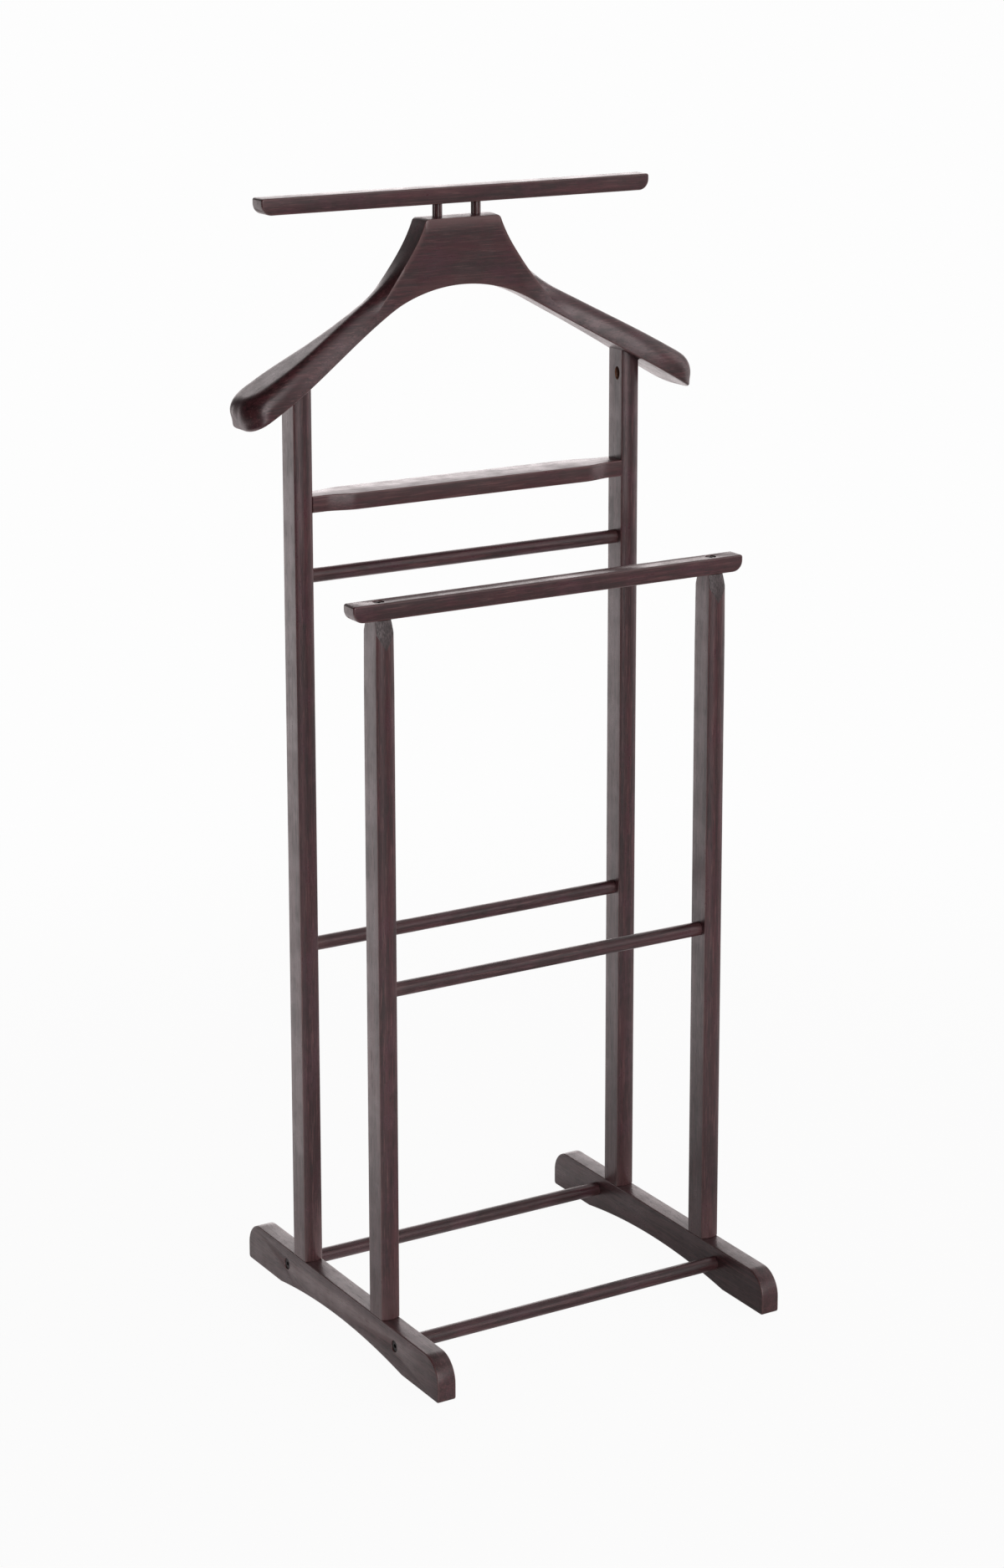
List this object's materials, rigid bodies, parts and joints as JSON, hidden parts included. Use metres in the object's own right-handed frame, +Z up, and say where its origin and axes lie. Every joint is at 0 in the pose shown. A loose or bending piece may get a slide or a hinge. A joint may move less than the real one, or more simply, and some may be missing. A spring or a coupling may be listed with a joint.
{
  "type": "valet stand",
  "caption": "Free-standing clothes valet in dark lacquered wood: shaped jacket hanger with a bar above it, tray and trouser rods on tall back posts, lower front frame with a bar, feet joined by rods",
  "frame": {"origin": "on the floor, under the middle of the base and of the hanger", "axes": "X runs across the stand from its left to its right seen from the front, Y from the low front frame towards the tall back frame, Z upwards"},
  "size_m": [0.47, 0.36, 1.02],
  "materials": {
    "lacquered_wood": "espresso brown stain under satin lacquer, fine grain along each piece",
    "bare_wood": "bare hardwood",
    "black_steel": "blackened steel screw"
  },
  "bodies": {
    "root": {"foot_left": "lacquered_wood", "foot_right": "lacquered_wood", "back_post_left": "lacquered_wood", "back_post_right": "lacquered_wood", "front_post_left": "lacquered_wood", "front_post_right": "lacquered_wood", "hanger": "lacquered_wood", "top_bar": "lacquered_wood", "top_bar_dowels": "lacquered_wood", "tray": "lacquered_wood", "tray_dowels": "bare_wood", "front_bar": "lacquered_wood", "front_bar_screws": "black_steel", "upper_back_rod": "lacquered_wood", "mid_back_rod": "lacquered_wood", "mid_front_rod": "lacquered_wood", "bottom_back_rod": "lacquered_wood", "bottom_front_rod": "lacquered_wood", "foot_bolts": "black_steel", "post_screws": "black_steel", "post_dowels": "bare_wood", "hanger_screws": "black_steel"}
  },
  "joints": []
}
